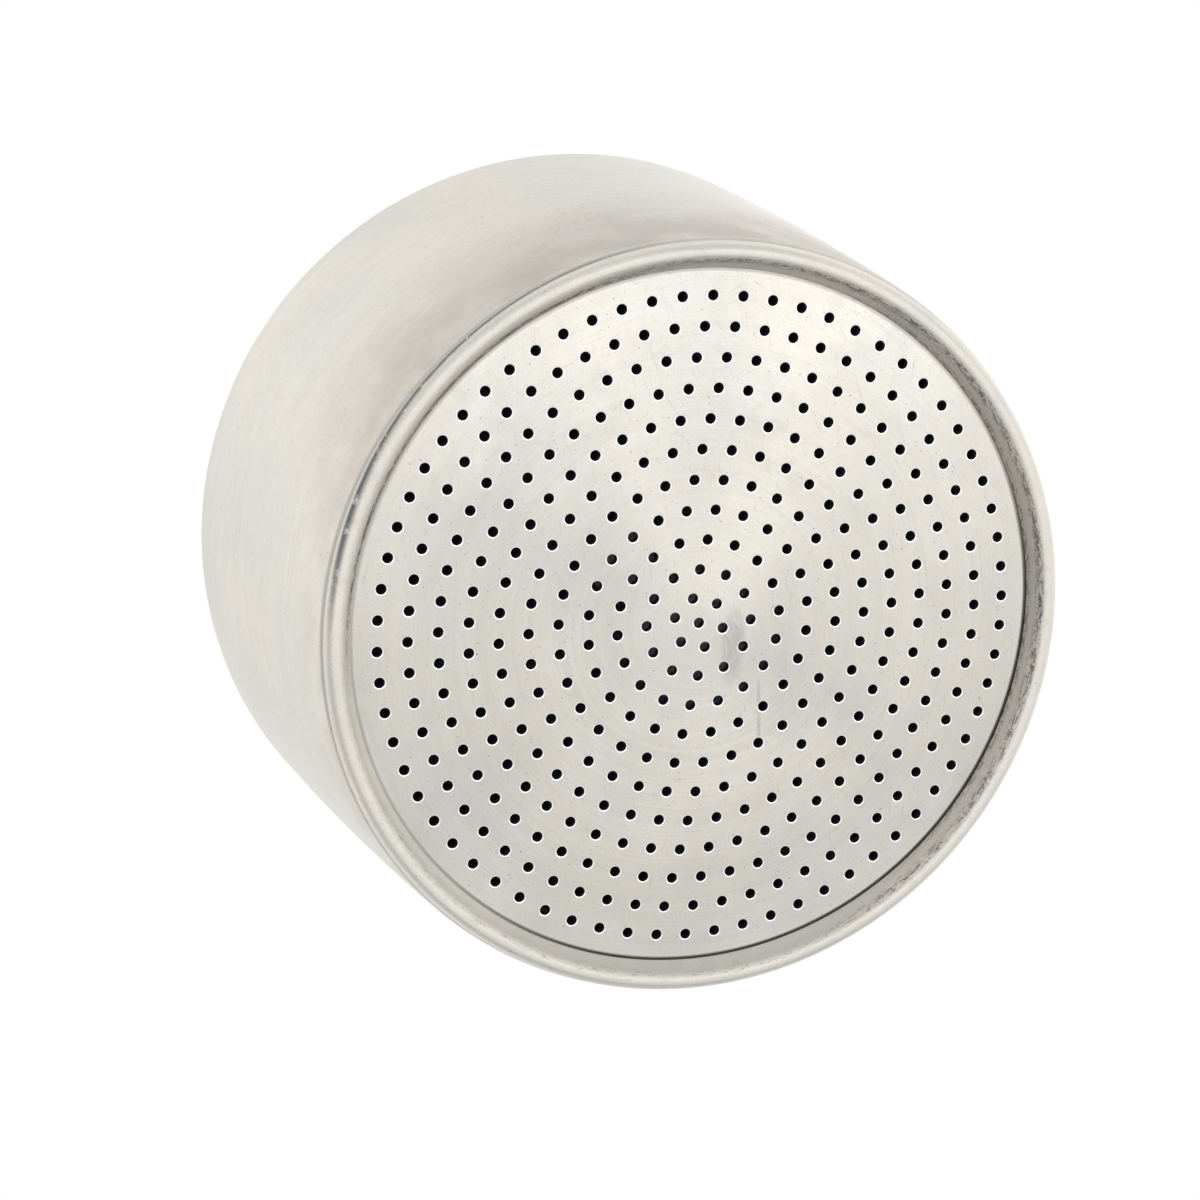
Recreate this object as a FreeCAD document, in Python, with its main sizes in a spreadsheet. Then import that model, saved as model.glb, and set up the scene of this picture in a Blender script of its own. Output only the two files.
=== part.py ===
import FreeCAD, Part
import math
import os

import Sketcher

# Cheese mold: a tapered spun-aluminium wall whose narrow end is hemmed over a perforated drain
# plate, with the loose follower that presses the curd. Millimetres. The mold stands as it is
# used, drain plate down and mouth up: +Z is its axis, z = 0 is the foot on which it stands, and
# the first hole of every odd ring of the drain plate lies on +X.

DIMENSIONS = {
    # wall
    "overall_height": 81.2,
    "mouth_radius": 69.0,
    "wall_foot_radius": 63.5,
    "wall_bulge": 0.55,
    "wall_gauge": 1.6,
    "mouth_round": 0.45,
    # rolled foot bead
    "bead_centre_radius": 61.35,
    "bead_radius": 1.7,
    "foot_land": 0.8,
    "bead_exit_angle": 20.0,
    "waist_round": 0.6,
    "shoulder_round": 1.5,
    # lip that turns in and up from the bead, under the edge of the drain plate
    "lip_lean": 31.3,
    "lip_gauge": 1.5,
    "hem_floor": 1.9,
    "hem_inset": 0.25,
    # drain plate
    "plate_recess": 3.3,
    "plate_gauge": 1.5,
    "plate_radius": 61.75,
    "hole_diameter": 1.8,
    "ring_pitch": 5.0,
    "ring_inset": 1.0,
    "first_ring_radius": 4.3,
    # follower: height of its underside when its edge meets the taper of the wall
    "follower_rest": 45.0,
    "follower_gauge": 2.0,
    "follower_radius": 65.1,
    "flange_height": 9.0,
    "flange_flare": 0.5,
    "flange_bend": 3.0,
    "flange_round": 0.6,
    # spreader washer under the knob
    "washer_radius": 27.0,
    "washer_gauge": 3.0,
    "washer_chamfer": 1.0,
    # knob
    "knob_height": 26.0,
    "knob_base_radius": 14.0,
    "knob_base_height": 3.0,
    "knob_stem_radius": 10.0,
    "knob_head_radius": 18.0,
    "knob_head_height": 9.0,
    "knob_round": 2.0,
    "knob_bore_depth": 14.0,
    # countersunk screw that holds disc, washer and knob together
    "screw_radius": 3.0,
    "screw_head_radius": 6.0,
    "screw_length": 17.0,
    "screw_slot_width": 1.6,
    "screw_slot_depth": 1.2,
    "screw_gap": 0.05,
    "hole_clearance": 0.2,
}

RING_COUNT = 11
HOLES_PER_STEP = 6  # ring n has this many times n holes
LEAST_CLEARANCE = 0.25  # between the resting follower and the mold
CUT_OVERSHOOT = 1  # how far a cut runs past the solid it goes through


class Size:
    """A length or angle as a number, with the sheet expression that gives the same number."""

    def __init__(self, value, text):
        self.value = value
        self.text = text

    def __add__(self, other):
        other = as_size(other)
        return Size(self.value + other.value, f"({self.text} + {other.text})")

    def __sub__(self, other):
        other = as_size(other)
        return Size(self.value - other.value, f"({self.text} - {other.text})")

    def __mul__(self, other):
        other = as_size(other)
        return Size(self.value * other.value, f"({self.text} * {other.text})")

    def __truediv__(self, other):
        other = as_size(other)
        return Size(self.value / other.value, f"({self.text} / {other.text})")


def as_size(number):
    return number if isinstance(number, Size) else Size(float(number), f"{number}")


def root(size):
    return Size(math.sqrt(size.value), f"sqrt({size.text})")


def cosine(angle):
    return Size(math.cos(math.radians(angle.value)), f"cos({angle.text} * 1 deg)")


def sine(angle):
    return Size(math.sin(math.radians(angle.value)), f"sin({angle.text} * 1 deg)")


def arc_radius(start, end, sagitta):
    """Radius of the arc between two points that stands this far off its chord."""
    across = end[0] - start[0]
    along = end[1] - start[1]
    chord_squared = across * across + along * along
    return (chord_squared / 4 + sagitta * sagitta) / (sagitta * 2)


def make_sheet(doc):
    sheet = doc.addObject("Spreadsheet::Sheet", "dims")
    for row, (alias, number) in enumerate(DIMENSIONS.items(), start=1):
        sheet.set(f"A{row}", alias)
        sheet.set(f"B{row}", str(number))
        sheet.setAlias(f"B{row}", alias)
    return {alias: Size(number, f"dims.{alias}") for alias, number in DIMENSIONS.items()}


def new_body(doc, label, height=None):
    """A body named after its sub-part, lifted to its height in the mold."""
    body = doc.addObject("PartDesign::Body", label)
    body.Label = label
    if height is not None:
        body.Placement = FreeCAD.Placement(
            FreeCAD.Vector(0, 0, height.value), FreeCAD.Rotation()
        )
        body.setExpression("Placement.Base.z", height.text)
    return body


def new_sketch(body, name, plane):
    sketch = body.newObject("Sketcher::SketchObject", name)
    for feature in body.Origin.OriginFeatures:
        if feature.Role == plane:
            sketch.AttachmentSupport = [(feature, "")]
    sketch.MapMode = "FlatFace"
    return sketch


def bind(sketch, kind, references, size, name):
    """A sketch dimension that follows the sheet."""
    index = sketch.addConstraint(Sketcher.Constraint(kind, *references, size.value))
    sketch.renameConstraint(index, name)
    sketch.setExpression(f"Constraints.{name}", size.text)


def place_point(sketch, edge, end, point, name):
    """Sets one end of an edge by its distances from the origin, or puts it on an axis."""
    horizontal, vertical = -1, -2
    for kind, size, axis in (
        ("DistanceX", point[0], vertical),
        ("DistanceY", point[1], horizontal),
    ):
        if abs(size.value) < 1e-9:
            sketch.addConstraint(Sketcher.Constraint("PointOnObject", edge, end, axis))
        else:
            bind(sketch, kind, (-1, 1, edge, end), size, f"{name}_{kind[-1].lower()}")


def arc_between(start, end, radius, side):
    """The short arc from start to end whose centre is to the left (side 1) or right (side -1)."""
    x0, y0, x1, y1 = start[0].value, start[1].value, end[0].value, end[1].value
    chord = math.hypot(x1 - x0, y1 - y0)
    offset = side * math.sqrt(radius.value**2 - chord**2 / 4)
    centre = FreeCAD.Vector(
        (x0 + x1) / 2 - offset * (y1 - y0) / chord,
        (y0 + y1) / 2 + offset * (x1 - x0) / chord,
        0,
    )
    angles = [math.atan2(y - centre.y, x - centre.x) for x, y in ((x0, y0), (x1, y1))]
    first, last = angles if side > 0 else reversed(angles)
    if last < first:
        last += 2 * math.pi
    circle = Part.Circle(centre, FreeCAD.Vector(0, 0, 1), radius.value)
    return Part.ArcOfCircle(circle, first, last)


def draw_profile(sketch, points, arcs=None):
    """A closed outline through the points. arcs gives (radius, side) for the edge after a point."""
    arcs = arcs or {}
    ends = []
    for number, start in enumerate(points):
        end = points[(number + 1) % len(points)]
        if number in arcs:
            radius, side = arcs[number]
            sketch.addGeometry(arc_between(start, end, radius, side), False)
            ends.append((1, 2) if side > 0 else (2, 1))
        else:
            from_to = [FreeCAD.Vector(p[0].value, p[1].value, 0) for p in (start, end)]
            sketch.addGeometry(Part.LineSegment(*from_to), False)
            ends.append((1, 2))
    for number, point in enumerate(points):
        before = number - 1 if number else len(points) - 1
        meets = (before, ends[before][1], number, ends[number][0])
        sketch.addConstraint(Sketcher.Constraint("Coincident", *meets))
        place_point(sketch, number, ends[number][0], point, f"point{number}")
    for number, (radius, _) in arcs.items():
        bind(sketch, "Radius", (number,), radius, f"arc{number}")


def revolve(body, name, points, arcs=None):
    """Turns a profile of (radius, height) points about the axis of the mold."""
    sketch = new_sketch(body, f"{name}_profile", "XZ_Plane")
    draw_profile(sketch, points, arcs)
    feature = body.newObject("PartDesign::Revolution", name)
    feature.Profile = sketch
    feature.ReferenceAxis = (sketch, ["V_Axis"])
    feature.Angle = 360
    body.Document.recompute()
    return feature


def rings_at(feature, radius, height):
    """Names of the circular edges of this radius at this height."""
    names = []
    for number, edge in enumerate(feature.Shape.Edges, start=1):
        curve = edge.Curve
        if not isinstance(curve, Part.Circle):
            continue
        same_radius = abs(curve.Radius - radius.value) < 1e-4
        same_height = abs(edge.CenterOfMass.z - height.value) < 1e-4
        if same_radius and same_height:
            names.append(f"Edge{number}")
    if not names:
        raise RuntimeError(f"{feature.Name} has no ring of radius {radius.value:.2f}")
    return names


def fillet(body, name, base, rings, radius):
    """Rounds the circular edges given as (radius, height) pairs."""
    feature = body.newObject("PartDesign::Fillet", name)
    edges = [edge for ring in rings for edge in rings_at(base, *ring)]
    feature.Base = (base, edges)
    feature.Radius = radius.value
    feature.setExpression("Radius", radius.text)
    body.Document.recompute()
    return feature


def make_mold_wall(doc, d):
    """Tapered wall, rolled foot bead and the lip turned in under the drain plate, in one sheet."""
    body = new_body(doc, "mold_wall")
    half_land = d["foot_land"] / 2
    bead_r = d["bead_radius"]
    centre_r = d["bead_centre_radius"]
    centre_z = root(bead_r * bead_r - half_land * half_land)
    lean_cos = cosine(d["lip_lean"])
    lean_sin = sine(d["lip_lean"])

    # visible face of the lip: tangent to the bead, up to the plate
    crest_edge = (centre_r - bead_r * lean_cos, centre_z - bead_r * lean_sin)
    lip_rise = d["plate_recess"] - crest_edge[1]
    lip_edge = (crest_edge[0] - lip_rise * lean_sin / lean_cos, d["plate_recess"])
    # hidden face of the lip, down into the hem
    lip_back = (lip_edge[0] + d["lip_gauge"] / lean_cos, d["plate_recess"])
    hem_drop = d["plate_recess"] - d["hem_floor"]
    hem_inner = (lip_back[0] + hem_drop * lean_sin / lean_cos, d["hem_floor"])

    land_in = (centre_r - half_land, as_size(0))
    land_out = (centre_r + half_land, as_size(0))
    exit_angle = d["bead_exit_angle"]
    bead_exit = (centre_r + bead_r * cosine(exit_angle), centre_z + bead_r * sine(exit_angle))
    shoulder = (d["wall_foot_radius"], bead_exit[1] + d["wall_foot_radius"] - bead_exit[0])
    mouth_out = (d["mouth_radius"], d["overall_height"])
    mouth_in = (d["mouth_radius"] - d["wall_gauge"], d["overall_height"])
    hem_outer = (d["wall_foot_radius"] - d["wall_gauge"] - d["hem_inset"], d["hem_floor"])

    outer_arc = arc_radius(shoulder, mouth_out, d["wall_bulge"])
    inner_arc = arc_radius(hem_outer, mouth_in, d["wall_bulge"])
    points = [
        lip_edge,
        crest_edge,
        land_in,
        land_out,
        bead_exit,
        shoulder,
        mouth_out,
        mouth_in,
        hem_outer,
        hem_inner,
        lip_back,
    ]
    arcs = {
        1: (bead_r, 1),
        3: (bead_r, 1),
        5: (outer_arc, 1),
        7: (inner_arc, -1),
    }
    wall = revolve(body, "wall_section", points, arcs)
    waist = fillet(body, "waist", wall, [bead_exit], d["waist_round"])
    rounded = fillet(body, "wall_shoulder", waist, [shoulder], d["shoulder_round"])
    fillet(body, "mouth_edge", rounded, [mouth_out, mouth_in], d["mouth_round"])
    return body


def drill(body, name, point, diameter, depth):
    """One hole through the plate, from the underside up."""
    sketch = new_sketch(body, f"{name}_sketch", "XY_Plane")
    centre = FreeCAD.Vector(point[0].value, point[1].value, 0)
    up = FreeCAD.Vector(0, 0, 1)
    sketch.addGeometry(Part.Circle(centre, up, diameter.value / 2), False)
    bind(sketch, "Diameter", (0,), diameter, "hole")
    place_point(sketch, 0, 3, point, "centre")
    pocket = body.newObject("PartDesign::Pocket", name)
    pocket.Profile = sketch
    pocket.Reversed = True
    pocket.Length = depth.value
    pocket.setExpression("Length", depth.text)
    return sketch, pocket


def make_drain_plate(doc, d):
    """Flat disc with a centre hole and rings of holes, every second ring turned by half a step."""
    body = new_body(doc, "drain_plate", d["plate_recess"])
    outline = new_sketch(body, "plate_outline", "XY_Plane")
    up = FreeCAD.Vector(0, 0, 1)
    outline.addGeometry(Part.Circle(FreeCAD.Vector(0, 0, 0), up, d["plate_radius"].value), False)
    outline.addConstraint(Sketcher.Constraint("Coincident", 0, 3, -1, 1))
    bind(outline, "Radius", (0,), d["plate_radius"], "plate")
    disc = body.newObject("PartDesign::Pad", "plate_disc")
    disc.Profile = outline
    disc.Length = d["plate_gauge"].value
    disc.setExpression("Length", d["plate_gauge"].text)

    nothing = as_size(0)
    depth = d["plate_gauge"] + CUT_OVERSHOOT
    drill(body, "centre_hole", (nothing, nothing), d["hole_diameter"], depth)
    for ring in range(1, RING_COUNT + 1):
        count = HOLES_PER_STEP * ring
        radius = d["ring_pitch"] * ring - d["ring_inset"] if ring > 1 else d["first_ring_radius"]
        point = (radius, nothing)
        if ring % 2 == 0:
            half_step = as_size(180) / count
            point = (radius * cosine(half_step), radius * sine(half_step))
        name = f"ring{ring}_hole"
        sketch, pocket = drill(body, name, point, d["hole_diameter"], depth)
        pattern = body.newObject("PartDesign::PolarPattern", f"ring{ring}")
        pattern.Originals = [pocket]
        pattern.Axis = (sketch, ["N_Axis"])
        pattern.Angle = 360
        pattern.Occurrences = count
        body.Tip = pattern
    doc.recompute()
    return body


def make_follower_disc(doc, d):
    """Shallow spun dish, flat below, with a flange that flares with the wall of the mold."""
    body = new_body(doc, "follower_disc", d["follower_rest"])
    gauge = d["follower_gauge"]
    bend = d["flange_bend"]
    radius = d["follower_radius"]
    top_radius = radius + d["flange_flare"]
    inner_bend = bend - gauge
    sink = d["screw_head_radius"] + d["hole_clearance"]
    nothing = as_size(0)
    points = [
        (sink, nothing),
        (radius - bend, nothing),
        (radius, bend),
        (top_radius, d["flange_height"]),
        (top_radius - gauge, d["flange_height"]),
        (radius - gauge, bend),
        (radius - gauge - inner_bend, gauge),
        (sink - gauge, gauge),
    ]
    arcs = {1: (bend, 1), 5: (inner_bend, -1)}
    dish = revolve(body, "dish", points, arcs)
    rim = [points[3], points[4]]
    fillet(body, "flange_edge", dish, rim, d["flange_round"])
    return body


def make_spreader_washer(doc, d):
    """Thick washer that carries the load of the knob out over the disc."""
    body = new_body(doc, "spreader_washer", d["follower_rest"] + d["follower_gauge"])
    sink = d["screw_head_radius"] + d["hole_clearance"] - d["follower_gauge"]
    bore = d["screw_radius"] + d["hole_clearance"]
    chamfer = d["washer_chamfer"]
    nothing = as_size(0)
    points = [
        (sink, nothing),
        (d["washer_radius"], nothing),
        (d["washer_radius"], d["washer_gauge"] - chamfer),
        (d["washer_radius"] - chamfer, d["washer_gauge"]),
        (bore, d["washer_gauge"]),
        (bore, sink - bore),
    ]
    revolve(body, "washer", points)
    return body


def make_follower_knob(doc, d):
    """Turned mushroom knob: the flat top takes the press, the waist is for the fingers."""
    knob_foot = d["follower_rest"] + d["follower_gauge"] + d["washer_gauge"]
    body = new_body(doc, "follower_knob", knob_foot)
    bore = d["screw_radius"] + d["screw_gap"]
    height = d["knob_height"]
    neck_top = height - d["knob_head_height"]
    base = (d["knob_base_radius"], d["knob_base_height"])
    neck = (d["knob_head_radius"], neck_top)
    nothing = as_size(0)
    waist_sagitta = d["knob_base_radius"] - d["knob_stem_radius"]
    waist = arc_radius(base, neck, waist_sagitta)
    points = [
        (bore, nothing),
        (d["knob_base_radius"], nothing),
        base,
        neck,
        (d["knob_head_radius"], height),
        (nothing, height),
        (nothing, d["knob_bore_depth"]),
        (bore, d["knob_bore_depth"]),
    ]
    knob = revolve(body, "knob", points, {2: (waist, -1)})
    fillet(body, "knob_edges", knob, [neck, points[4]], d["knob_round"])
    return body


def make_knob_screw(doc, d):
    """Countersunk slotted screw, head flush with the underside of the follower."""
    body = new_body(doc, "knob_screw", d["follower_rest"])
    nothing = as_size(0)
    shank = d["screw_radius"]
    head = d["screw_head_radius"]
    points = [
        (nothing, nothing),
        (head, nothing),
        (shank, head - shank),
        (shank, d["screw_length"]),
        (nothing, d["screw_length"]),
    ]
    revolve(body, "screw", points)
    slot = new_sketch(body, "slot_outline", "XY_Plane")
    half_width = d["screw_slot_width"] / 2
    reach = head + CUT_OVERSHOOT
    left, right = nothing - reach, nothing + reach
    low, high = nothing - half_width, nothing + half_width
    draw_profile(slot, [(left, low), (right, low), (right, high), (left, high)])
    cut = body.newObject("PartDesign::Pocket", "slot")
    cut.Profile = slot
    cut.Reversed = True
    cut.Length = d["screw_slot_depth"].value
    cut.setExpression("Length", d["screw_slot_depth"].text)
    doc.recompute()
    return body


def check_document(doc):
    """Stops if a feature failed, because a recompute doesn't raise by itself."""
    for item in doc.Objects:
        if "Invalid" in item.State or "Error" in item.State:
            raise RuntimeError(f"{item.Name} failed: {item.State}")


def check_parts(parts):
    for body in parts.values():
        shape = body.Shape
        if shape.isNull() or not shape.isValid() or len(shape.Solids) != 1:
            raise RuntimeError(f"{body.Label} isn't one valid solid")
    holes = 1 + HOLES_PER_STEP * RING_COUNT * (RING_COUNT + 1) // 2
    plate = parts["drain_plate"]
    full = math.pi * DIMENSIONS["plate_radius"] ** 2
    drilled = holes * math.pi * DIMENSIONS["hole_diameter"] ** 2 / 4
    expected = (full - drilled) * DIMENSIONS["plate_gauge"]
    if abs(plate.Shape.Volume - expected) > 0.001 * expected:
        raise RuntimeError("the drain plate doesn't have all its holes")
    gap = parts["follower_disc"].Shape.distToShape(parts["mold_wall"].Shape)[0]
    if gap < LEAST_CLEARANCE:
        raise RuntimeError(f"the follower is only {gap:.3f} mm from the wall")
    print(f"{holes} drain holes; follower clears the wall by {gap:.3f} mm")


def main():
    doc = FreeCAD.newDocument("cheese_mold")
    dims = make_sheet(doc)
    doc.recompute()
    makers = (
        make_mold_wall,
        make_drain_plate,
        make_follower_disc,
        make_spreader_washer,
        make_follower_knob,
        make_knob_screw,
    )
    bodies = [maker(doc, dims) for maker in makers]
    doc.recompute()
    check_document(doc)
    parts = {body.Label: body for body in bodies}
    check_parts(parts)
    os.makedirs("parts", exist_ok=True)
    for label, body in parts.items():
        body.Shape.exportStep(f"parts/{label}.step")
        box = body.Shape.BoundBox
        print(f"{label}: z {box.ZMin:.2f} to {box.ZMax:.2f}, {body.Shape.Volume:.0f} mm3")


main()
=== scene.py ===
import math

import bpy
from mathutils import Matrix, Vector, geometry, kdtree, noise


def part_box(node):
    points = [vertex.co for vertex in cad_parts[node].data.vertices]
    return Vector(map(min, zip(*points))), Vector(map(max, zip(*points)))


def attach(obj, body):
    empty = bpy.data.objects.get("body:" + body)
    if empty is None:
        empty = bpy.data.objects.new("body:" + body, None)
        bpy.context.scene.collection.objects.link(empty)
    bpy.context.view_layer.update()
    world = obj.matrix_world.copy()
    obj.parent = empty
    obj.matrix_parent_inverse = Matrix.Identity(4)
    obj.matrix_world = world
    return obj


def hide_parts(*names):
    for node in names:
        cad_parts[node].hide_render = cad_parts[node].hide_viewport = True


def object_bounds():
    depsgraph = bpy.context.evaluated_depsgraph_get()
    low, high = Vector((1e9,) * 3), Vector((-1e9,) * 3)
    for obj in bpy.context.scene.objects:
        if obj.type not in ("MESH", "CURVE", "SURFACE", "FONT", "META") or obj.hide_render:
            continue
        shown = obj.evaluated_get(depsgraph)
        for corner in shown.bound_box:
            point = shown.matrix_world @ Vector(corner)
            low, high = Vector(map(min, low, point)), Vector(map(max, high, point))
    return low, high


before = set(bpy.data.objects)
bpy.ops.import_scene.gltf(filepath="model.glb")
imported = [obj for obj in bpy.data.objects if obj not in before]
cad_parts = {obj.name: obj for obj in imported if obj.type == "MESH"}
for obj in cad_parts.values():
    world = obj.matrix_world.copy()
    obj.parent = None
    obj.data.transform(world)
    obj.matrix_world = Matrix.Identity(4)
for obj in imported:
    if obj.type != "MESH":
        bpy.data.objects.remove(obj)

# Cheese mold standing on its rolled foot, drain plate down, seen from under its perforated end.
# Lengths are in metres; MM turns the small ones into metres.

CAD_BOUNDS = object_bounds()
MM = 0.001

# --- sizes that the frame doesn't state, the same as in the CAD model -------------------------

WALL_GAUGE = 1.6 * MM
WALL_FOOT_RADIUS = 63.5 * MM
WALL_BULGE = 0.55 * MM
MOUTH_ROUND = 0.45 * MM
BEAD_CENTRE_RADIUS = 61.35 * MM
BEAD_RADIUS = 1.7 * MM
FOOT_LAND = 0.8 * MM
LIP_LEAN = math.radians(31.3)
LIP_GAUGE = 1.5 * MM
HEM_FLOOR = 1.9 * MM
HEM_INSET = 0.25 * MM
BEAD_EXIT_ANGLE = math.radians(20)
HOLE_RADIUS = 0.9 * MM
RING_PITCH = 5.0 * MM
RING_INSET = 1.0 * MM
FIRST_RING_RADIUS = 4.3 * MM
RING_COUNT = 11
HOLES_PER_STEP = 6

# --- camera -----------------------------------------------------------------------------------

CAMERA_PLACE = Vector((-0.18005, -0.07786, -0.4386))
CAMERA_FORWARD = Vector((0.34023, 0.16243, 0.92621))
CAMERA_DOWN = Vector((0.1922, 0.95216, -0.23758))
CAMERA_LENS_MM = 88.42


def make_camera():
    """The camera looks up at the drain plate, 24 degrees off the axis of the mold."""
    data = bpy.data.cameras.new("camera")
    data.lens = CAMERA_LENS_MM
    data.sensor_width = 36.0
    data.clip_start = 0.01
    camera = bpy.data.objects.new("camera", data)
    bpy.context.scene.collection.objects.link(camera)
    back = -CAMERA_FORWARD.normalized()
    right = CAMERA_DOWN.cross(-back).normalized()
    up = back.cross(right)
    turn = Matrix((right, up, back)).transposed()
    camera.matrix_world = Matrix.Translation(CAMERA_PLACE) @ turn.to_4x4()
    bpy.context.scene.camera = camera


# --- outlines ---------------------------------------------------------------------------------


def arc(centre, radius, start, end, steps):
    """Points on an arc, angles in radians from the +r direction."""
    points = []
    for step in range(steps + 1):
        angle = start + (end - start) * step / steps
        points.append(Vector((centre[0] + radius * math.cos(angle), centre[1] + radius * math.sin(angle))))
    return points


def bowed(start, end, bulge, steps):
    """Points from start to end on a line that stands off its chord by bulge, to the right."""
    start, end = Vector(start), Vector(end)
    chord = end - start
    aside = Vector((chord.y, -chord.x)).normalized()
    points = []
    for step in range(steps + 1):
        share = step / steps
        points.append(start + chord * share + aside * bulge * 4 * share * (1 - share))
    return points


def rounded(points, radii, steps=6):
    """The outline with the corners named in radii (index to radius) rounded off."""
    result = []
    for index, corner in enumerate(points):
        radius = radii.get(index)
        if not radius:
            result.append(Vector(corner))
            continue
        corner = Vector(corner)
        before = (Vector(points[index - 1]) - corner).normalized()
        after = (Vector(points[(index + 1) % len(points)]) - corner).normalized()
        half = before.angle(after) / 2
        reach = radius / math.tan(half)
        centre = corner + (before + after).normalized() * radius / math.sin(half)
        first = corner + before * reach - centre
        last = corner + after * reach - centre
        sweep = first.angle_signed(last)
        for step in range(steps + 1):
            turned = first.copy()
            turned.rotate(Matrix.Rotation(-sweep * step / steps, 2))
            result.append(centre + turned)
    return result


def lathe(name, outline, segments=360, wobble=None):
    """Turns a closed (radius, height) outline about the Z axis. wobble moves each finished point."""
    vertices, rings = [], []
    for radius, height in outline:
        on_axis = radius < 1e-6
        ring = []
        for segment in range(1 if on_axis else segments):
            angle = 2 * math.pi * segment / segments
            point = Vector((radius * math.cos(angle), radius * math.sin(angle), height))
            ring.append(len(vertices))
            vertices.append(wobble(point) if wobble else point)
        rings.append(ring)
    faces = []
    for index, ring in enumerate(rings):
        following = rings[(index + 1) % len(rings)]
        if len(ring) == 1 and len(following) == 1:
            continue
        for segment in range(segments):
            beside = (segment + 1) % segments
            corners = [
                ring[segment % len(ring)],
                ring[beside % len(ring)],
                following[beside % len(following)],
                following[segment % len(following)],
            ]
            faces.append(list(dict.fromkeys(corners)))
    return new_piece(name, vertices, faces)


def new_piece(name, vertices, faces, flat_count=0):
    """Smooth-shaded piece. The first flat_count faces stay flat."""
    mesh = bpy.data.meshes.new(name)
    mesh.from_pydata([tuple(v) for v in vertices], [], faces)
    mesh.shade_smooth()
    mesh.set_sharp_from_angle(angle=math.radians(40))
    for face in mesh.polygons[:flat_count]:
        face.use_smooth = False
    piece = bpy.data.objects.new(name, mesh)
    bpy.context.scene.collection.objects.link(piece)
    return piece


# --- shader building --------------------------------------------------------------------------


class Nodes:
    """Short calls that add nodes to one tree. x, y and z are the place or direction they work from."""

    def give(self, socket, value):
        if isinstance(value, bpy.types.NodeSocket):
            self.tree.links.new(value, socket)
        else:
            socket.default_value = value

    def node(self, kind, **inputs):
        node = self.tree.nodes.new(kind)
        for name, value in inputs.items():
            self.give(node.inputs[name], value)
        return node

    def math(self, operation, a, b=0.0, c=0.0):
        node = self.tree.nodes.new("ShaderNodeMath")
        node.operation = operation
        for socket, value in zip(node.inputs, (a, b, c)):
            self.give(socket, value)
        return node.outputs[0]

    def chained(self, operation, values):
        result = values[0]
        for value in values[1:]:
            result = self.math(operation, result, value)
        return result

    def add(self, *values):
        return self.chained("ADD", values)

    def both(self, *masks):
        return self.chained("MULTIPLY", masks)

    def most(self, *masks):
        return self.chained("MAXIMUM", masks)

    def step(self, value, low, high, to_low=0.0, to_high=1.0):
        """Smooth step from low to high."""
        node = self.tree.nodes.new("ShaderNodeMapRange")
        node.interpolation_type = "SMOOTHSTEP"
        for socket, item in zip(node.inputs, (value, low, high, to_low, to_high)):
            self.give(socket, item)
        return node.outputs[0]

    def band(self, value, centre, full, faded, to_full=1.0):
        """to_full where the value is within full of the centre, 0 from faded on."""
        off = self.math("ABSOLUTE", self.math("SUBTRACT", value, centre))
        return self.step(off, full, faded, to_full, 0.0)

    def along(self, angle_degrees):
        """How far the place or direction lies towards this angle about the Z axis."""
        angle = math.radians(angle_degrees)
        along_x = self.math("MULTIPLY", self.x, math.cos(angle))
        along_y = self.math("MULTIPLY", self.y, math.sin(angle))
        return self.math("ADD", along_x, along_y)


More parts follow.
